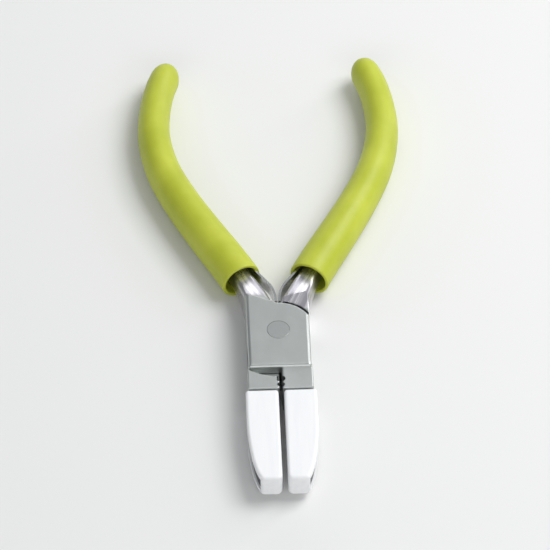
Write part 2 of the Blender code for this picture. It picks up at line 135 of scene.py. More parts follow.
def grain(tree, size, detail=4.0, turn=0.0):
    """Noise whose grains have a size in millimetres. Unequal sizes make lines, and turn aims them."""
    place = tree.nodes.new("ShaderNodeTexCoord")
    mapping = tree.nodes.new("ShaderNodeMapping")
    mapping.vector_type = "TEXTURE"
    mapping.inputs["Scale"].default_value = [length * MM for length in size]
    mapping.inputs["Rotation"].default_value = (0, 0, math.radians(turn))
    noise = tree.nodes.new("ShaderNodeTexNoise")
    noise.inputs["Scale"].default_value = 1.0
    noise.inputs["Detail"].default_value = detail
    tree.links.new(place.outputs["Object"], mapping.inputs["Vector"])
    tree.links.new(mapping.outputs["Vector"], noise.inputs["Vector"])
    return noise.outputs["Fac"]


def spread(tree, value, from_low, from_high, to_low, to_high):
    """Maps one range of values to another."""
    node = tree.nodes.new("ShaderNodeMapRange")
    sockets = ("From Min", "From Max", "To Min", "To Max")
    for name, number in zip(sockets, (from_low, from_high, to_low, to_high)):
        node.inputs[name].default_value = number
    tree.links.new(value, node.inputs["Value"])
    return node.outputs["Result"]


def mix_colours(tree, share, first, second):
    """Mixes two colours, each a plain tuple or another node's output."""
    node = tree.nodes.new("ShaderNodeMix")
    node.data_type = "RGBA"
    for socket, value in ((node.inputs[0], share), (node.inputs[6], first), (node.inputs[7], second)):
        if isinstance(value, bpy.types.NodeSocket):
            tree.links.new(value, socket)
        elif isinstance(value, tuple):
            socket.default_value = (*value, 1)
        else:
            socket.default_value = value
    return node.outputs[2]


def mix_numbers(tree, share, first, second):
    """Mixes two numbers, each a plain number or another node's output."""
    node = tree.nodes.new("ShaderNodeMix")
    for socket, value in ((node.inputs[0], share), (node.inputs[2], first), (node.inputs[3], second)):
        if isinstance(value, bpy.types.NodeSocket):
            tree.links.new(value, socket)
        else:
            socket.default_value = value
    return node.outputs[0]


def bumps(tree, shader, height, strength, distance):
    """Turns a grey pattern into small bumps."""
    node = tree.nodes.new("ShaderNodeBump")
    node.inputs["Strength"].default_value = strength
    node.inputs["Distance"].default_value = distance
    tree.links.new(height, node.inputs["Height"])
    tree.links.new(node.outputs["Normal"], shader.inputs["Normal"])


# %% [markdown]
# The steel has two faces. The joint and the jaw roots are blasted to an even satin grey. The necks are
# polished along their length, so they carry fine grey polish lines, and wide bright and dark bands are
# painted into their colour as painted reflections. Both are one piece of metal on the real tool, so one
# material fades from satin to polish at a distance along Y.


# %% Steel
SATIN_DEEP, SATIN_PALE = (0.484, 0.507, 0.496), (0.54, 0.563, 0.552)
# Dark and bright colours of the wide bands on the polished necks: painted reflections.
PAINTED_REFLECTION_DARK, PAINTED_REFLECTION_BRIGHT = (0.5, 0.485, 0.53), (0.95, 0.93, 0.96)
LINE_GREY = (0.35, 0.35, 0.38)
LINE_SHARE = 0.16
FADE_LENGTH = 0.7
NECK_LEAN = 24
BOX_POLISH_LINE, TONGUE_POLISH_LINE = 10.4, 6.0
FINE_GRAIN = (0.2, 0.2, 0.2)


def pliers_steel(name, polish_from, side):
    """Satin steel, polished behind a line along Y, with painted reflection bands on the polish. The handle is
    on the right (1) or the left (-1).
    """
    finish, tree, shader = new_finish(name)
    place = tree.nodes.new("ShaderNodeTexCoord")
    split = tree.nodes.new("ShaderNodeSeparateXYZ")
    tree.links.new(place.outputs["Object"], split.inputs["Vector"])
    polish = spread(tree, split.outputs["Y"], polish_from * MM, (polish_from + FADE_LENGTH) * MM, 0, 1)
    speckle = grain(tree, FINE_GRAIN, 2.0)
    painted_reflection_bands = grain(tree, (1.9, 40, 9.0), 1.0, -NECK_LEAN * side)
    lines = grain(tree, (0.45, 18, 3.0), 2.0, -NECK_LEAN * side)
    smudges = grain(tree, (6, 8, 6), 3.0)
    satin = mix_colours(tree, spread(tree, smudges, 0.35, 0.7, 0, 1), SATIN_DEEP, SATIN_PALE)
    # The polished colour swings between the two in wide bands, which are painted reflections.
    painted_reflection_colour = mix_colours(tree, spread(tree, painted_reflection_bands, 0.42, 0.58, 0, 1), PAINTED_REFLECTION_DARK, PAINTED_REFLECTION_BRIGHT)
    bright = mix_colours(tree, spread(tree, lines, 0.3, 0.7, LINE_SHARE, 0), painted_reflection_colour, LINE_GREY)
    tree.links.new(mix_colours(tree, polish, satin, bright), shader.inputs["Base Color"])
    satin_rough = spread(tree, speckle, 0.3, 0.7, 0.36, 0.46)
    bright_rough = spread(tree, lines, 0.3, 0.7, 0.26, 0.34)
    tree.links.new(mix_numbers(tree, polish, satin_rough, bright_rough), shader.inputs["Roughness"])
    shader.inputs["Metallic"].default_value = 1.0
    bumps(tree, shader, mix_numbers(tree, polish, speckle, lines), 0.05, 0.00003)
    return finish


DARKER = 0.82


def plain_steel(name, colour, low, high, size):
    """A single steel finish: colour, lowest and highest roughness, and the grain's size."""
    finish, tree, shader = new_finish(name)
    marks = grain(tree, size, 5.0)
    darker = tuple(DARKER * c for c in colour)
    shade = spread(tree, marks, 0.35, 0.65, 0, 1)
    tree.links.new(mix_colours(tree, shade, darker, colour), shader.inputs["Base Color"])
    tree.links.new(spread(tree, marks, 0.3, 0.7, low, high), shader.inputs["Roughness"])
    shader.inputs["Metallic"].default_value = 1.0
    bumps(tree, shader, marks, 0.1, 0.00004)
    return finish


box_steel = pliers_steel("box_half_steel", BOX_POLISH_LINE, -1)
tongue_steel = pliers_steel("tongue_half_steel", TONGUE_POLISH_LINE, 1)
rivet_steel = plain_steel("rivet_steel", (0.50, 0.52, 0.512), 0.34, 0.44, FINE_GRAIN)
spring_steel = plain_steel("spring_steel", (0.72, 0.73, 0.74), 0.16, 0.28, (0.3, 6, 0.3))
screw_steel = plain_steel("screw_steel", (0.6, 0.6, 0.6), 0.2, 0.34, (0.4, 0.4, 0.4))
# Near-black steel for the blades inside the covers: painted shade that makes the slots look dark.
blade_painted_shade = plain_steel("painted_shade_steel", (0.09, 0.09, 0.1), 0.35, 0.5, (0.4, 2.5, 0.4))
print("steel finishes:", len(bpy.data.materials))

# %% [markdown]
# The grips are dipped: the handle goes into liquid vinyl and comes out with a soft satin skin. It has a faint
# orange peel, and its lime colour is a little deeper where the skin is thick. A little light travels inside
# it.

# %% Lime vinyl
LIME_DEEP, LIME_PALE = (0.45, 0.505, 0.034), (0.54, 0.59, 0.055)
lime_vinyl, tree, shader = new_finish("lime_vinyl")
peel = grain(tree, (0.65, 0.65, 0.65), 2.0)
cloud = grain(tree, (9, 11, 9), 3.0)
lime = mix_colours(tree, spread(tree, cloud, 0.35, 0.68, 0, 1), LIME_DEEP, LIME_PALE)
tree.links.new(lime, shader.inputs["Base Color"])
tree.links.new(spread(tree, peel, 0.3, 0.7, 0.38, 0.5), shader.inputs["Roughness"])
shader.inputs["Subsurface Weight"].default_value = 0.12
shader.inputs["Subsurface Radius"].default_value = (1.0, 0.9, 0.25)
shader.inputs["Subsurface Scale"].default_value = 0.0012
shader.inputs["Specular IOR Level"].default_value = 0.42
bumps(tree, shader, peel, 0.1, 0.00008)

# %% [markdown]
# Nylon is white but not opaque: light goes in a millimetre or so and softens the edges. Its surface is
# moulded, so it has a fine even texture and shows faint lengthwise rub marks from wire.

# %% White nylon
NYLON_CLEAN, NYLON_RUBBED = (0.9, 0.905, 0.915), (0.86, 0.87, 0.885)
white_nylon, tree, shader = new_finish("white_nylon")
moulded = grain(tree, (0.4, 0.4, 0.4), 2.0)
rubbed = grain(tree, (1.1, 16, 1.1), 5.0)
white = mix_colours(tree, spread(tree, rubbed, 0.4, 0.75, 0, 1), NYLON_CLEAN, NYLON_RUBBED)
tree.links.new(white, shader.inputs["Base Color"])
tree.links.new(spread(tree, moulded, 0.3, 0.7, 0.36, 0.46), shader.inputs["Roughness"])
shader.inputs["Subsurface Weight"].default_value = 0.25
shader.inputs["Subsurface Radius"].default_value = (1.0, 1.0, 1.0)
shader.inputs["Subsurface Scale"].default_value = 0.0009
bumps(tree, shader, moulded, 0.06, 0.00005)

# %% [markdown]
# The floor only has to catch soft shadows, so it is a plain, rough, pale grey with no pattern to draw the
# eye.

# %% Floor finish
pale_floor, tree, shader = new_finish("pale_floor")
shader.inputs["Base Color"].default_value = (0.8, 0.8, 0.79, 1)
shader.inputs["Roughness"].default_value = 0.85
floor.data.materials.append(pale_floor)

# %% [markdown]
# ## Tools for modelling
# Most pieces of pliers are plates with a shape cut into them, or bars that change width as they go. A plate
# starts as a circle with as many corners as its outline has, each corner is moved to its place, and the face
# is pulled up. A bar starts as a flat end that is extruded and resized again and again.


# %% Helpers for plates and bars
def clear_selection():
    """Leaves edit mode and deselects everything, so that an operator acts on one piece only."""
    if bpy.context.object and bpy.context.object.mode != "OBJECT":
        bpy.ops.object.mode_set(mode="OBJECT")
    bpy.ops.object.select_all(action="DESELECT")


def hold(piece):
    """Makes one piece the selected and active one."""
    clear_selection()
    piece.select_set(True)
    bpy.context.view_layer.objects.active = piece


def plate(name, outline, low, high):
    """A plate from its outline and the two heights it lies between, in millimetres."""
    clear_selection()
    bpy.ops.mesh.primitive_circle_add(vertices=len(outline), radius=MM, fill_type="NGON")
    piece = bpy.context.object
    piece.name = name
    for corner, (x, y) in zip(piece.data.vertices, outline):
        corner.co = (x * MM, y * MM, low * MM)
    bpy.ops.object.mode_set(mode="EDIT")
    bpy.ops.mesh.select_all(action="SELECT")
    bpy.ops.mesh.extrude_region_move(TRANSFORM_OT_translate={"value": (0, 0, (high - low) * MM)})
    bpy.ops.mesh.select_all(action="SELECT")
    bpy.ops.mesh.normals_make_consistent(inside=False)
    bpy.ops.object.mode_set(mode="OBJECT")
    return piece


def pull_along(stations):
    """Extrudes the selected end along X, from station to station: (distance, half width, half height)."""
    for (x0, w0, h0), (x1, w1, h1) in zip(stations, stations[1:]):
        bpy.ops.mesh.extrude_region_move(TRANSFORM_OT_translate={"value": ((x1 - x0) * MM, 0, 0)})
        bpy.ops.transform.resize(value=(1, w1 / w0, h1 / h0), center_override=(x1 * MM, 0, 0))


def bar(name, stations, sides):
    """A straight bar along X with an oval section, or a square one when it has four sides."""
    start, width, height = stations[0]
    clear_selection()
    if sides == 4:
        bpy.ops.mesh.primitive_plane_add(size=2 * MM, rotation=(0, math.pi / 2, 0))
    else:
        bpy.ops.mesh.primitive_circle_add(
            vertices=sides, radius=MM, fill_type="NGON", rotation=(0, math.pi / 2, 0)
        )
    piece = bpy.context.object
    piece.name = name
    bpy.ops.object.transform_apply(location=True, rotation=True, scale=True)
    bpy.ops.object.mode_set(mode="EDIT")
    bpy.ops.mesh.select_all(action="SELECT")
    bpy.ops.transform.resize(value=(1, width, height), center_override=(0, 0, 0))
    bpy.ops.transform.translate(value=(start * MM, 0, 0))
    pull_along(stations)
    bpy.ops.mesh.select_all(action="SELECT")
    bpy.ops.mesh.normals_make_consistent(inside=False)
    bpy.ops.object.mode_set(mode="OBJECT")
    return piece


def round_bar(name, radius, start, end, sides=48):
    """A round bar between two points, in millimetres."""
    first, last = Vector(start) * MM, Vector(end) * MM
    turn = (last - first).to_track_quat("Z", "X").to_euler()
    middle, depth = (first + last) / 2, (last - first).length
    clear_selection()
    bpy.ops.mesh.primitive_cylinder_add(
        vertices=sides, radius=radius * MM, depth=depth, location=middle, rotation=turn
    )
    bpy.ops.object.transform_apply(location=True, rotation=True, scale=True)
    bpy.context.object.name = name
    return bpy.context.object


# %% [markdown]
# A sharp edge never catches the light, so nearly every edge is rounded a little. Some edges are picked by
# their place and others by how sharp they are. Shapes are joined and cut with the Boolean modifier, whose
# exact solver keeps flat faces flat. The grips, covers and screws are made once and copied, and a flipped
# copy has its normals worked out again, because a flip turns a shape inside out.

# %% Helpers for rounding, joining and cutting
SMOOTH_BELOW = 35


def select_edges(piece, test):
    """Goes into edit mode and selects the edges whose two ends, in millimetres, pass a test."""
    hold(piece)
    bpy.ops.object.mode_set(mode="EDIT")
    bpy.ops.mesh.select_mode(type="EDGE")
    bpy.ops.mesh.select_all(action="DESELECT")
    shape = bmesh.from_edit_mesh(piece.data)
    for edge in shape.edges:
        edge.select = test(*(corner.co / MM for corner in edge.verts))
    bmesh.update_edit_mesh(piece.data)


def round_selected(width, segments):
    """Bevels the selected edges and leaves edit mode."""
    bpy.ops.mesh.bevel(offset=width * MM, offset_type="OFFSET", segments=segments, affect="EDGES")
    bpy.ops.object.mode_set(mode="OBJECT")


def round_edges(piece, width, segments=3, angle=40):
    """Rounds every edge that is sharper than an angle."""
    hold(piece)
    tool = piece.modifiers.new("rounded edges", "BEVEL")
    tool.width = width * MM
    tool.segments = segments
    tool.limit_method = "ANGLE"
    tool.angle_limit = math.radians(angle)
    bpy.ops.object.modifier_apply(modifier=tool.name)


def combine(piece, other, how):
    """Adds the other shape to the piece with UNION, or cuts it away with DIFFERENCE."""
    hold(piece)
    tool = piece.modifiers.new(how.lower(), "BOOLEAN")
    tool.operation = how
    tool.solver = "EXACT"
    tool.object = other
    bpy.ops.object.modifier_apply(modifier=tool.name)
    bpy.data.objects.remove(other, do_unlink=True)


def copy_of(piece, name, move=0.0, flip=False):
    """A copy with its own mesh, moved along Y in millimetres, and flipped to the other side if asked."""
    hold(piece)
    bpy.ops.object.duplicate(linked=False)
    copy = bpy.context.object
    copy.name = name
    bpy.ops.object.mode_set(mode="EDIT")
    bpy.ops.mesh.select_all(action="SELECT")
    bpy.ops.transform.translate(value=(0, move * MM, 0))
    if flip:
        bpy.ops.transform.resize(value=(-1, 1, 1), center_override=(0, 0, 0))
        bpy.ops.mesh.normals_make_consistent(inside=False)
    bpy.ops.object.mode_set(mode="OBJECT")
    return copy


def complete(piece, body, slot, finish, *nodes):
    """Smooths a piece, gives it its finish and hands it over to the body that it moves with."""
    hold(piece)
    bpy.ops.object.shade_smooth_by_angle(angle=math.radians(SMOOTH_BELOW))
    tool = piece.modifiers.new("even shading", "WEIGHTED_NORMAL")
    tool.keep_sharp = True
    bpy.ops.object.modifier_apply(modifier=tool.name)
    piece.data.materials.clear()
    piece.data.materials.append(finish)
    if body:
        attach(piece, body)
    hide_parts(*nodes)
    print(piece.name, "has", len(piece.data.polygons), "faces")


def arc(centre, radius, start, end, steps):
    """Points on an arc, from one angle to another, in degrees."""
    angles = [math.radians(start + (end - start) * i / steps) for i in range(steps + 1)]
    return [(centre[0] + radius * math.cos(a), centre[1] + radius * math.sin(a)) for a in angles]


def flipped(outline, side):
    """The same outline on the right (1) or on the left (-1)."""
    return [(side * x, y) for x, y in outline]


def between(table, at):
    """Straight-line reading of a table of (position, value)."""
    for (p0, v0), (p1, v1) in zip(table, table[1:]):
        if at <= p1:
            return v0 + (v1 - v0) * max(0.0, at - p0) / (p1 - p0)
    return table[-1][1]


# %% [markdown]
# ## The handle's route
# Both handles follow the same curve, one flipped. It leaves the joint steeply, swings out to the widest point
# near its far end, and comes back in a little. Steel, grip and spring are all placed along it, so it is
# worked out once. A straight lead-in reaches into the joint, so that the neck can start inside the block.

# %% The route
MID = 4.8
LEAD = 5.0
HANDLE_ROUTE = [
    (4.4, 9.6),
    (6.0, 14.8),
    (8.4, 20.2),
    (11.5, 26.0),
    (14.9, 32.0),
    (20.5, 42.5),
    (24.7, 52.5),
    (26.6, 62.0),
    (26.4, 70.0),
    (24.8, 78.0),
    (22.0, 84.6),
]


def smooth_line(points, steps):
    """A smooth curve through the points."""
    spots = [Vector(p) for p in points]
    padded = [spots[0], *spots, spots[-1]]
    made = []
    for a, b, c, d in zip(padded, padded[1:], padded[2:], padded[3:]):
        for i in range(steps):
            t = i / steps
            slope, turn, twist = c - a, 2 * a - 5 * b + 4 * c - d, 3 * b - a - 3 * c + d
            made.append((2 * b + slope * t + turn * t**2 + twist * t**3) / 2)
    return [*made, spots[-1]]


route = smooth_line(HANDLE_ROUTE, 6)
route = [route[0] - (route[1] - route[0]).normalized() * LEAD, *route]
marks = [0.0]
for here, there in zip(route, route[1:]):
    marks.append(marks[-1] + (there - here).length)
LENGTH = marks[-1] - LEAD
print("the handle is", round(LENGTH, 1), "mm long along its curve")


def along(share):
    """Distance along the route, lead-in included, of a share of the handle's length."""
    return LEAD + share * LENGTH


def beside(distance, aside):
    """A point at a distance along the right handle's route, and so far to the route's right."""
    last = len(route) - 2
    i = next((k for k in range(last + 1) if marks[k + 1] >= distance), last)
    a, b = route[i], route[i + 1]
    t = (distance - marks[i]) / (marks[i + 1] - marks[i])
    before, after = (b - route[max(i - 1, 0)]).normalized(), (route[min(i + 2, last + 1)] - a).normalized()
    ahead = (before * (1 - t) + after * t).normalized()
    return a.lerp(b, t) + Vector((ahead.y, -ahead.x)) * aside


def bend_onto_handle(piece, side):
    """Bends a straight bar along X onto the route with a Curve modifier, and lifts it to the middle."""
    line = bpy.data.curves.new("handle_line", "CURVE")
    line.dimensions = "2D"
    spline = line.splines.new("POLY")
    spline.points.add(len(route) - 1)
    for point, spot in zip(spline.points, route):
        point.co = (side * spot.x * MM, spot.y * MM, 0, 1)
    guide = bpy.data.objects.new("handle_line", line)
    bpy.context.scene.collection.objects.link(guide)
    hold(piece)
    tool = piece.modifiers.new("bend", "CURVE")
    tool.object = guide
    tool.deform_axis = "POS_X"
    bpy.ops.object.modifier_apply(modifier=tool.name)
    bpy.data.objects.remove(guide, do_unlink=True)
    bpy.ops.object.mode_set(mode="EDIT")
    bpy.ops.mesh.select_all(action="SELECT")
    bpy.ops.transform.translate(value=(0, 0, MID * MM))
    bpy.ops.mesh.normals_make_consistent(inside=False)
    bpy.ops.object.mode_set(mode="OBJECT")


# %% [markdown]
# ## The handle steel
# The steel leaves the joint as a thick neck, thins quickly in height and width, and goes on inside the grip
# as a slim tang. It could be cut from a plate, but a square bar whose long edges are rounded gives the softer
# polished neck that the real one has. Its width is read by share of the route and its height by distance from
# the joint.

# %% Handle bars
CORE_WIDTHS = [(-0.06, 2.8), (0.0, 2.9), (0.06, 2.6), (0.12, 2.2), (0.2, 1.9), (1.0, 1.3)]
NECK_HEIGHTS = [
    (0.0, 4.4),
    (10.0, 4.62),
    (12.0, 4.25),
    (14.5, 3.4),
    (17.5, 2.8),
    (21, 2.5),
    (27, 2.3),
    (90, 2),
]
BAR_START, BAR_END = -0.045, 0.9
BAR_STEPS = 34
CROWDING = 1.25
BAR_ROUNDING = 1.25


def handle_bar(name, side):
    """The neck and tang of one handle, with its sections crowded towards the neck."""
    stations = []
    for i in range(BAR_STEPS + 1):
        share = BAR_START + (BAR_END - BAR_START) * (i / BAR_STEPS) ** CROWDING
        height = between(NECK_HEIGHTS, beside(along(share), 0).y)
        stations.append((along(share), between(CORE_WIDTHS, share), height))
    piece = bar(name, stations, 4)
    select_edges(piece, lambda a, b: abs(a.x - b.x) > 0.5 * (a - b).length)
    round_selected(BAR_ROUNDING, 4)
    bend_onto_handle(piece, side)
    return piece


# %% [markdown]
# ## The box half
# The box half is the one that you see from above: its two cheeks make the box of the joint. It starts as a
# plate with an arc at the back on the right, where the other half comes out, and flared corners in front. Its
# edges are rounded before anything is cut into it, because a bevel is clean on a clean plate. The jaw root,
# the thin blade that the nylon cover slides on, and the handle are then added, and the slot for the other
# half is cut last.

# %% Outlines of the joint
HALF_WIDTH = 7.3
FRONT = -10.9
SHOULDER = 8.6
PIN_RADIUS = 2.6
SLOT = 2.2
JAW_FACE = 0.35
ROOT_END = -17.0
FLARE, FLARE_LENGTH = 0.3, 1.2
ROOT_SIDE, ROOT_FLARED = 7.2, 7.6
shoulder_end = math.degrees(math.acos(HALF_WIDTH / SHOULDER))

block_outline = [
    *arc((0, 0), SHOULDER, shoulder_end, 90, 16),
    (-0.9, 9.2),
    (-HALF_WIDTH, 11.9),
    (-HALF_WIDTH, FRONT + FLARE_LENGTH),
    (-HALF_WIDTH - FLARE, FRONT),
    (HALF_WIDTH + FLARE, FRONT),
    (HALF_WIDTH, FRONT + FLARE_LENGTH),
]
root_outline = [
    (JAW_FACE, -6),
    (JAW_FACE, ROOT_END),
    (ROOT_FLARED, ROOT_END),
    (7.55, FRONT),
    (ROOT_SIDE, FRONT + FLARE_LENGTH),
    (ROOT_SIDE, -6),
]

# %% [markdown]
# The blade that carries a cover ends in the same curve as the cover's outer corner, a little further in, so
# that it stays inside the mouth of the channel. Two helpers for cutters follow: a slice of a disc, for the
# room that the tongue's arms turn in, and a round rod on the line where the jaws meet.

# %% Outline of the blades, and two cutters
PAD_OUTSIDE = 8.25
CORNER_START, CORNER_REACH, CORNER_DROP = -25.0, 3.8, 18.4


def tip_corner(outside, start_x, end_y, steps):
    """The jaw tip's outer corner, part of an ellipse, from depth end_y back to width start_x."""
    first = math.acos(1 - (outside - start_x) / CORNER_REACH)
    last = math.asin((CORNER_START - end_y) / CORNER_DROP)
    turns = [last + (first - last) * i / steps for i in range(steps + 1)]
    inward = [outside - CORNER_REACH * (1 - math.cos(a)) for a in turns]
    return [(x, CORNER_START - CORNER_DROP * math.sin(a)) for x, a in zip(inward, turns)]


BLADE_SETBACK = 0.4
BLADE_TOP, BLADE_END = -16, -41.8
BLADE_INNER, BLADE_OUTER = 3.1, 6.6
toe = tip_corner(PAD_OUTSIDE - BLADE_SETBACK, 7.3, BLADE_END, 8)
blade_outline = [
    (BLADE_INNER, BLADE_TOP),
    (BLADE_INNER, BLADE_END),
    *toe,
    (BLADE_OUTER, -33.2),
    (BLADE_OUTER, BLADE_TOP),
]
CUT_LOW, CUT_HIGH = -1, 11
REAR_NOTCH, FRONT_NOTCH = (-14.25, 0.8), (-16.0, 0.62)


def sector(start, end, radius):
    """A slice of a disc round the pivot."""
    return [(0, 0), *arc((0, 0), radius, start, end, 8)]


def notch(side, y, radius):
    """A round cutter on the line where the jaws meet."""
    x = side * (JAW_FACE - 0.05)
    return round_bar("notch", radius, (x, y, CUT_LOW), (x, y, CUT_HIGH), 32)


# %% [markdown]
# The block, the jaw root and the blade are three plates of different heights, stacked about the same middle.
# Each is rounded while it is still simple, and then they are joined with the handle into one piece of steel.

# %% Block, root and blade
ROOT_HALF_HEIGHT = 4.3
BLADE_HALF_HEIGHT = 1.65

box_half = plate("box_half_body", block_outline, 0, 2 * MID)
round_edges(box_half, 0.85, 4)
root = plate("right_root", root_outline, MID - ROOT_HALF_HEIGHT, MID + ROOT_HALF_HEIGHT)
round_edges(root, 0.4)
combine(box_half, root, "UNION")
blade = plate("right_blade", blade_outline, MID - BLADE_HALF_HEIGHT, MID + BLADE_HALF_HEIGHT)
round_edges(blade, 0.25, 2)
combine(box_half, blade, "UNION")
combine(box_half, handle_bar("left_handle", -1), "UNION")
print("the box half has", len(box_half.data.polygons), "faces before it is cut")

# %% [markdown]
# On a real tool the slot is machined through the box. Here the cutter is a disc with two slices of a wider
# disc, one for each arm of the tongue and each as wide as the arm's whole swing. The pin hole and the notches
# are cut last.

# %% Slot, pin hole and notches
SLOT_RADIUS, SLOT_REACH = 5.55, 14.5
NECK_SWING, JAW_SWING = (12.4, 87), (200.5, 270.8)

slot = round_bar("slot", SLOT_RADIUS, (0, 0, MID - SLOT), (0, 0, MID + SLOT), 64)
for start, end in (NECK_SWING, JAW_SWING):
    combine(slot, plate("slot_side", sector(start, end, SLOT_REACH), MID - SLOT, MID + SLOT), "UNION")
combine(box_half, slot, "DIFFERENCE")
pin_hole = round_bar("pin_hole", PIN_RADIUS + 0.05, (0, 0, CUT_LOW), (0, 0, CUT_HIGH), 64)
combine(box_half, pin_hole, "DIFFERENCE")
combine(box_half, notch(1, *REAR_NOTCH), "DIFFERENCE")
combine(box_half, notch(1, *FRONT_NOTCH), "DIFFERENCE")
complete(box_half, "box_side", "satin_steel", box_steel, "box_half")


# %% [markdown]
# The blades inside the covers get a near-black finish. It is painted shade, which makes the slots in the
# white nylon look dark. They belong to the same piece of steel, so only their faces get a second finish.


# %% Blades darkened with painted shade
def paint_blade_shade(piece):
    """Gives the faces in front of the jaw root the dark finish, which is painted shade."""
    piece.data.materials.append(blade_painted_shade)
    for face in piece.data.polygons:
        if face.center.y < (ROOT_END - 0.05) * MM:
            face.material_index = 1


paint_blade_shade(box_half)

# %% [markdown]
# ## The tongue half
# This half passes through the box. Its middle is a thin tongue, a disc with two arms. The full thickness
# begins outside the shoulders: behind an arc at the back, and in front of a larger arc at the jaw, so that
# the steps never touch the cheeks as the pliers open.

# %% Tongue
RUNNING_GAP = 0.15
tongue_low, tongue_high = MID - SLOT + RUNNING_GAP, MID + SLOT - RUNNING_GAP
neck_arm = [(1.0, 5.0), (4.2, 2.7), (7.2, 4.6), (7.2, 11.0), (1.7, 11.0), (1.4, 9.8)]
jaw_arm = [
    (-JAW_FACE, -5),
    (-JAW_FACE, -16.5),
    (-7.5, -16.5),
    (-7.5, FRONT),
    (-ROOT_SIDE, FRONT + FLARE_LENGTH),
    (-ROOT_SIDE, -6.25),
    (-4.2, -3.4),
]
TONGUE_RADIUS = 5.4
tongue_half = round_bar("tongue_half_body", TONGUE_RADIUS, (0, 0, tongue_low), (0, 0, tongue_high), 64)
for arm in (neck_arm, jaw_arm):
    combine(tongue_half, plate("arm", arm, tongue_low, tongue_high), "UNION")
print("the tongue is", round(tongue_high - tongue_low, 2), "mm thick")

# %% [markdown]
# The shoulder and the jaw root bring the tongue back to full thickness. Both begin on arcs round the pivot, a
# running gap outside the cheeks. The shoulder stands a hair inside the cheeks' faces, so that no two faces
# lie at one height. The handle is cleared where the cheeks pass above and below it.

# %% Shoulder, root and handle
BACK_WIDTH = 7.25
SHOULDER_STEP = 0.03

back_radius = SHOULDER + RUNNING_GAP
back_angle = math.degrees(math.acos(BACK_WIDTH / back_radius))
back_arc = arc((0, 0), back_radius, back_angle, 81.5, 14)
shoulder_outline = [*back_arc, (1.6, 10.2), (7.0, 11.6), (BACK_WIDTH, 10.9)]
shoulder = plate("shoulder", shoulder_outline, SHOULDER_STEP, 2 * MID - SHOULDER_STEP)
round_edges(shoulder, 0.35)
combine(tongue_half, shoulder, "UNION")
front_radius = math.hypot(HALF_WIDTH + FLARE, FRONT) + RUNNING_GAP
first = 180 + math.degrees(math.acos(ROOT_FLARED / front_radius))
last = 270 - math.degrees(math.asin(JAW_FACE / front_radius))
front_arc = arc((0, 0), front_radius, first, last, 14)
left_root_outline = [*front_arc, (-JAW_FACE, ROOT_END), (-ROOT_FLARED, ROOT_END)]
root = plate("left_root", left_root_outline, MID - ROOT_HALF_HEIGHT, MID + ROOT_HALF_HEIGHT)
round_edges(root, 0.35)
combine(tongue_half, root, "UNION")
left_outline = flipped(blade_outline, -1)
blade = plate("left_blade", left_outline, MID - BLADE_HALF_HEIGHT, MID + BLADE_HALF_HEIGHT)
round_edges(blade, 0.25, 2)
combine(tongue_half, blade, "UNION")
handle = handle_bar("right_handle", 1)
for low, high in ((-2, tongue_low), (tongue_high, 12)):
    combine(handle, round_bar("cheek_room", back_radius, (0, 0, low), (0, 0, high), 96), "DIFFERENCE")
combine(tongue_half, handle, "UNION")
print("the tongue half has", len(tongue_half.data.polygons), "faces before it is cut")

# %% [markdown]
# A crimping station folds a small metal bead in two bites: a notch with a tooth dents it, and a plain notch
# rounds it. The tooth is left standing by taking a thin rod out of the notch's cutter before the cutter is
# used.

# %% Pin hole, notches and the crimping tooth
TOOTH_RADIUS = 0.36

pin_hole = round_bar("pin_hole", PIN_RADIUS + 0.08, (0, 0, CUT_LOW), (0, 0, CUT_HIGH), 64)
combine(tongue_half, pin_hole, "DIFFERENCE")
rear_notch = notch(-1, *REAR_NOTCH)
rear_y, rear_radius = REAR_NOTCH
tooth_x = -JAW_FACE - rear_radius
tooth = round_bar("tooth", TOOTH_RADIUS, (tooth_x, rear_y, -2), (tooth_x, rear_y, 12), 24)
combine(rear_notch, tooth, "DIFFERENCE")
combine(tongue_half, rear_notch, "DIFFERENCE")
combine(tongue_half, notch(-1, *FRONT_NOTCH), "DIFFERENCE")
complete(tongue_half, "tongue_side", "satin_steel", tongue_steel, "tongue_half")
paint_blade_shade(tongue_half)

# %% [markdown]
# The pivot is a rivet ground flush with the cheeks and finished with them, so only a hairline ring shows.

# %% Pivot rivet
pivot = round_bar("pivot_pin", PIN_RADIUS, (0, 0, 0), (0, 0, 2 * MID), 64)
round_edges(pivot, 0.06, 2)
complete(pivot, "box_side", "satin_steel", rivet_steel, "pivot_rivet")

# %% [markdown]
# ## The grips
# A grip is a long oval sleeve, open at the joint's end and closed at the other. It is made straight, where
# every section is easy to set: the outer skin first, then its end face is inset by the thickness of the wall
# and pushed back inside as the hollow. Only then is it bent onto the route. The left grip is modelled, and
# the right one is its flipped copy.

# %% Grips
GRIP_START = 0.125
GRIP_WIDTHS = [(0.125, 4.8), (0.25, 4.7), (0.5, 4.2), (0.75, 3.75), (1.0, 3.35)]
GRIP_HEIGHTS = [(0.0, MID), (0.75, MID), (1.0, 4.4)]
GRIP_WALLS = [(0.0, 0.8), (0.32, 0.9), (0.4, 1.25), (1.0, 1.25)]
NO_WALL = [(0.0, 0.0), (1.0, 0.0)]
END_LENGTH = 4.2
HOLLOW_END = 0.98
MOUTH_WALL, MOUTH_ROUNDING = 0.8, 0.28
GRIP_STEPS = 26
END_TURNS = (15, 30, 44, 57, 69, 78, 85)


def grip_stations(end, walls):
    """Sections from the mouth to a rounded end, drawn in by the wall."""
    end_share = END_LENGTH / LENGTH
    straight = end - end_share - GRIP_START
    body = [(GRIP_START + straight * i / GRIP_STEPS, 1.0) for i in range(GRIP_STEPS + 1)]
    turns = [math.radians(a) for a in END_TURNS]
    cap = [(end - end_share * (1 - math.sin(a)), math.cos(a)) for a in turns]
    stations = []
    for share, size in body + cap:
        wall = between(walls, share)
        width, height = between(GRIP_WIDTHS, share) - wall, between(GRIP_HEIGHTS, share) - wall
        stations.append((along(share), width * size, height * size))
    return stations


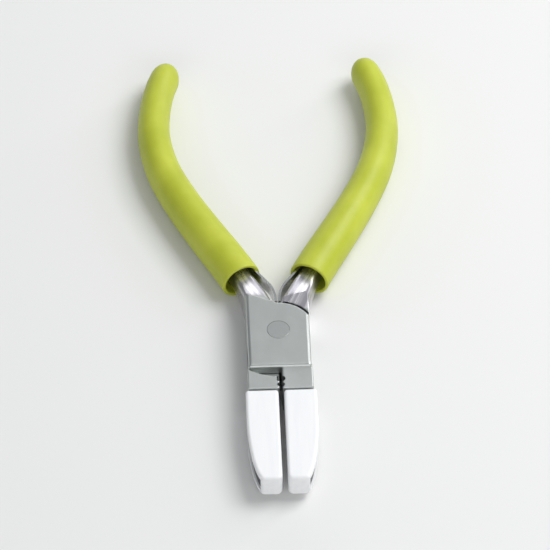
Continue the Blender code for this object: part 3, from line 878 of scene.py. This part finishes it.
def grip(name, side):
    """One dipped sleeve."""
    sleeve = bar(name, grip_stations(1.0, NO_WALL), 48)
    mouth = along(GRIP_START)
    hold(sleeve)
    bpy.ops.object.mode_set(mode="EDIT")
    bpy.ops.mesh.select_mode(type="FACE")
    bpy.ops.mesh.select_all(action="DESELECT")
    shape = bmesh.from_edit_mesh(sleeve.data)
    for face in shape.faces:
        face.select = all(abs(corner.co.x / MM - mouth) < 0.01 for corner in face.verts)
    bmesh.update_edit_mesh(sleeve.data)
    bpy.ops.mesh.inset(thickness=MOUTH_WALL * MM)
    pull_along(grip_stations(HOLLOW_END, GRIP_WALLS))
    bpy.ops.mesh.select_all(action="SELECT")
    bpy.ops.mesh.normals_make_consistent(inside=False)
    select_edges(sleeve, lambda a, b: abs(a.x - mouth) < 0.01 and abs(b.x - mouth) < 0.01)
    round_selected(MOUTH_ROUNDING, 3)
    bend_onto_handle(sleeve, side)
    return sleeve


left_grip = grip("left_dipped_grip", -1)
right_grip = copy_of(left_grip, "right_dipped_grip", flip=True)
complete(left_grip, "box_side", "lime_vinyl", lime_vinyl, "left_grip")
complete(right_grip, "tongue_side", "lime_vinyl", lime_vinyl, "right_grip")

# %% [markdown]
# ## The jaw covers
# Each cover is a nylon block that slides over the blade, with a channel in its outer side. In plan its outer
# corner runs in along part of an ellipse, so the channel's mouth shows from the front as a drop, dark with
# the blade's painted shade. The block also gets thinner from the rear to the tip, which is done before the
# edges are rounded. The edges are rounded generously, as moulded nylon is, and the channel is cut afterwards
# so that its own edges stay crisp.

# %% Covers
PAD_FACE = 0.65
PAD_REAR, PAD_TIP = -17.2, -43.0
REAR_HEIGHT, TIP_HEIGHT = 4.1, 3.1
NOSE = 1.25
COVER_ROUNDING = 1.0
CHANNEL_FLOOR, CHANNEL_END, CHANNEL_HALF_HEIGHT = 2.9, -42.3, 1.8


def thin_towards_tip(piece):
    """Brings the top and bottom together evenly from the rear to the tip, so that both stay flat."""
    for corner in piece.data.vertices:
        depth = (corner.co.y / MM - PAD_REAR) / (PAD_TIP - PAD_REAR)
        share = 1 + depth * (TIP_HEIGHT / REAR_HEIGHT - 1)
        corner.co.z = MID * MM + (corner.co.z - MID * MM) * share


def cover(name, side):
    """One jaw cover."""
    nose = arc((PAD_FACE + NOSE, PAD_TIP + NOSE), NOSE, 180, 270, 4)
    corner = tip_corner(PAD_OUTSIDE, PAD_OUTSIDE, PAD_TIP, 12)
    outline = [(PAD_OUTSIDE, PAD_REAR), (PAD_FACE, PAD_REAR), *nose, *corner]
    piece = plate(name, flipped(outline, side), MID - REAR_HEIGHT, MID + REAR_HEIGHT)
    thin_towards_tip(piece)
    round_edges(piece, COVER_ROUNDING, 5)
    channel = [(CHANNEL_FLOOR, CHANNEL_END), (12, CHANNEL_END), (12, -15), (CHANNEL_FLOOR, -15)]
    low, high = MID - CHANNEL_HALF_HEIGHT, MID + CHANNEL_HALF_HEIGHT
    combine(piece, plate("channel", flipped(channel, side), low, high), "DIFFERENCE")
    return piece


left_cover = cover("left_cover", -1)
right_cover = copy_of(left_cover, "right_cover", flip=True)
complete(left_cover, "tongue_side", "white_nylon", white_nylon, "left_jaw_pad")
complete(right_cover, "box_side", "white_nylon", white_nylon, "right_jaw_pad")

# %% [markdown]
# Two small slotted screws hold each cover on its blade. One is modelled, a head, a shank and a slot across
# the head, and the other three are copies of it: one moved forwards, and both flipped to the other jaw.

# %% Screws
SCREW_REAR, SCREW_STEP = -21.5, -8.5
HEAD_SEAT, HEAD_TOP, HEAD_RADIUS = 6.65, 7.55, 1.5
SHANK_END, SHANK_RADIUS = 1.5, 0.8
DRIVER_HALF_WIDTH, DRIVER_DEPTH = 0.22, 0.4


def cover_screw(name, y):
    """A cheese-head screw on the left jaw. Its head sits on the blade, inside the channel."""
    screw = round_bar(name, HEAD_RADIUS, (-HEAD_SEAT, y, MID), (-HEAD_TOP, y, MID), 32)
    round_edges(screw, 0.18, 2)
    shank = round_bar("shank", SHANK_RADIUS, (-SHANK_END, y, MID), (-HEAD_SEAT - 0.3, y, MID), 24)
    combine(screw, shank, "UNION")
    near, far = DRIVER_DEPTH - HEAD_TOP, -HEAD_TOP - 1
    left, right = y - DRIVER_HALF_WIDTH, y + DRIVER_HALF_WIDTH
    groove = [(near, left), (far, left), (far, right), (near, right)]
    driver_slot = plate("driver_slot", groove, MID - 3, MID + 3)
    combine(screw, driver_slot, "DIFFERENCE")
    return screw


left_rear = cover_screw("left_rear_screw", SCREW_REAR)
left_front = copy_of(left_rear, "left_front_screw", move=SCREW_STEP)
right_rear = copy_of(left_rear, "right_rear_screw", flip=True)
right_front = copy_of(left_front, "right_front_screw", flip=True)
complete(left_rear, "tongue_side", "screw_steel", screw_steel, "left_pad_screw_rear")
complete(left_front, "tongue_side", "screw_steel", screw_steel, "left_pad_screw_front")
complete(right_rear, "box_side", "screw_steel", screw_steel, "right_pad_screw_rear")
complete(right_front, "box_side", "screw_steel", screw_steel, "right_pad_screw_front")

# %% [markdown]
# ## The leaf springs
# Two strips of spring steel start under the grips, run down beside the necks and meet in the crotch of the
# handles. A strip is a line pulled up into a surface and then given its thickness by Solidify, which puts it
# on the handle's side of the right line but on the inner side of the left one. The two are therefore not
# quite mirror copies, and each is modelled on its own. As the handles open, the free ends stay near the
# middle line, half way between the two bodies. Here neither strip is given to a body.

# %% Leaf springs
LEAF_FIXED = [(0.30, 0.0), (0.27, 0.0), (0.24, 0.0), (0.21, 0.05), (0.18, 0.22), (0.155, 0.4), (0.13, 0.58)]
LEAF_FREE = [(3.4, 18.6), (1.5, 16.0), (0.72, 13.9), (0.45, 12.4), (0.42, 11.2)]
LEAF_THICKNESS = 0.5
LEAF_HALF_WIDTH = 1.7


def leaf(name, side):
    """One leaf, as a thick strip standing on its edge."""
    fixed = []
    for share, lift in LEAF_FIXED:
        aside = between(CORE_WIDTHS, share) + 0.05 + LEAF_THICKNESS + lift
        fixed.append(beside(along(share), -aside))
    strip = smooth_line(fixed + LEAF_FREE, 5)
    line = bpy.data.curves.new(name, "CURVE")
    line.dimensions = "2D"
    line.extrude = LEAF_HALF_WIDTH * MM
    spline = line.splines.new("POLY")
    spline.points.add(len(strip) - 1)
    for point, spot in zip(spline.points, strip):
        point.co = (side * spot.x * MM, spot.y * MM, 0, 1)
    piece = bpy.data.objects.new(name, line)
    bpy.context.scene.collection.objects.link(piece)
    piece.location.z = MID * MM
    hold(piece)
    bpy.ops.object.convert(target="MESH")
    bpy.ops.object.transform_apply(location=True, rotation=True, scale=True)
    tool = piece.modifiers.new("thickness", "SOLIDIFY")
    tool.thickness = LEAF_THICKNESS * MM
    tool.offset = 1.0
    bpy.ops.object.modifier_apply(modifier=tool.name)
    return piece


LEAF_ROOT, LEAF_TIP = (6.5, 22.5), (0.45, 11.2)
LEAF_BODIES = (("left", -1, "box_side", "tongue_side"), ("right", 1, "tongue_side", "box_side"))
for word, side, body, other in LEAF_BODIES:
    strip = leaf(f"{word}_spring_leaf", side)
    xs = [abs(corner.co.x / MM) for corner in strip.data.vertices]
    print(word, "leaf tip starts", round(min(xs), 2), "mm from the middle")
    complete(strip, None, "spring_steel", spring_steel, f"{word}_leaf_spring")
    root = Vector((side * LEAF_ROOT[0], LEAF_ROOT[1], MID))
    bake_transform(strip)


# %% [markdown]
# Each leaf is held by a rivet just inside the grip's mouth. Its head is low and round, and its other end is
# flush.


# %% Spring rivets
RIVET_SHARE = 0.262
RIVET_HEAD_RADIUS, RIVET_SHANK_RADIUS = 1.3, 0.8


def leaf_rivet(name, side):
    """A rivet through the leaf and the handle's steel."""
    core = between(CORE_WIDTHS, RIVET_SHARE)
    inner = core + 0.1 + LEAF_THICKNESS
    top, under, end = [beside(along(RIVET_SHARE), aside) for aside in (-inner - 0.5, -inner - 0.02, core)]
    spots = [(side * p.x, p.y, MID) for p in (top, under, end)]
    rivet = round_bar(name, RIVET_HEAD_RADIUS, spots[0], spots[1], 32)
    round_edges(rivet, 0.2, 3)
    inside = tuple((a + b) / 2 for a, b in zip(spots[0], spots[1]))
    combine(rivet, round_bar("shank", RIVET_SHANK_RADIUS, inside, spots[2], 24), "UNION")
    return rivet


for word, side, body in (("left", -1, "box_side"), ("right", 1, "tongue_side")):
    complete(leaf_rivet(f"{word}_leaf_pin", side), body, "spring_steel", spring_steel, f"{word}_spring_rivet")
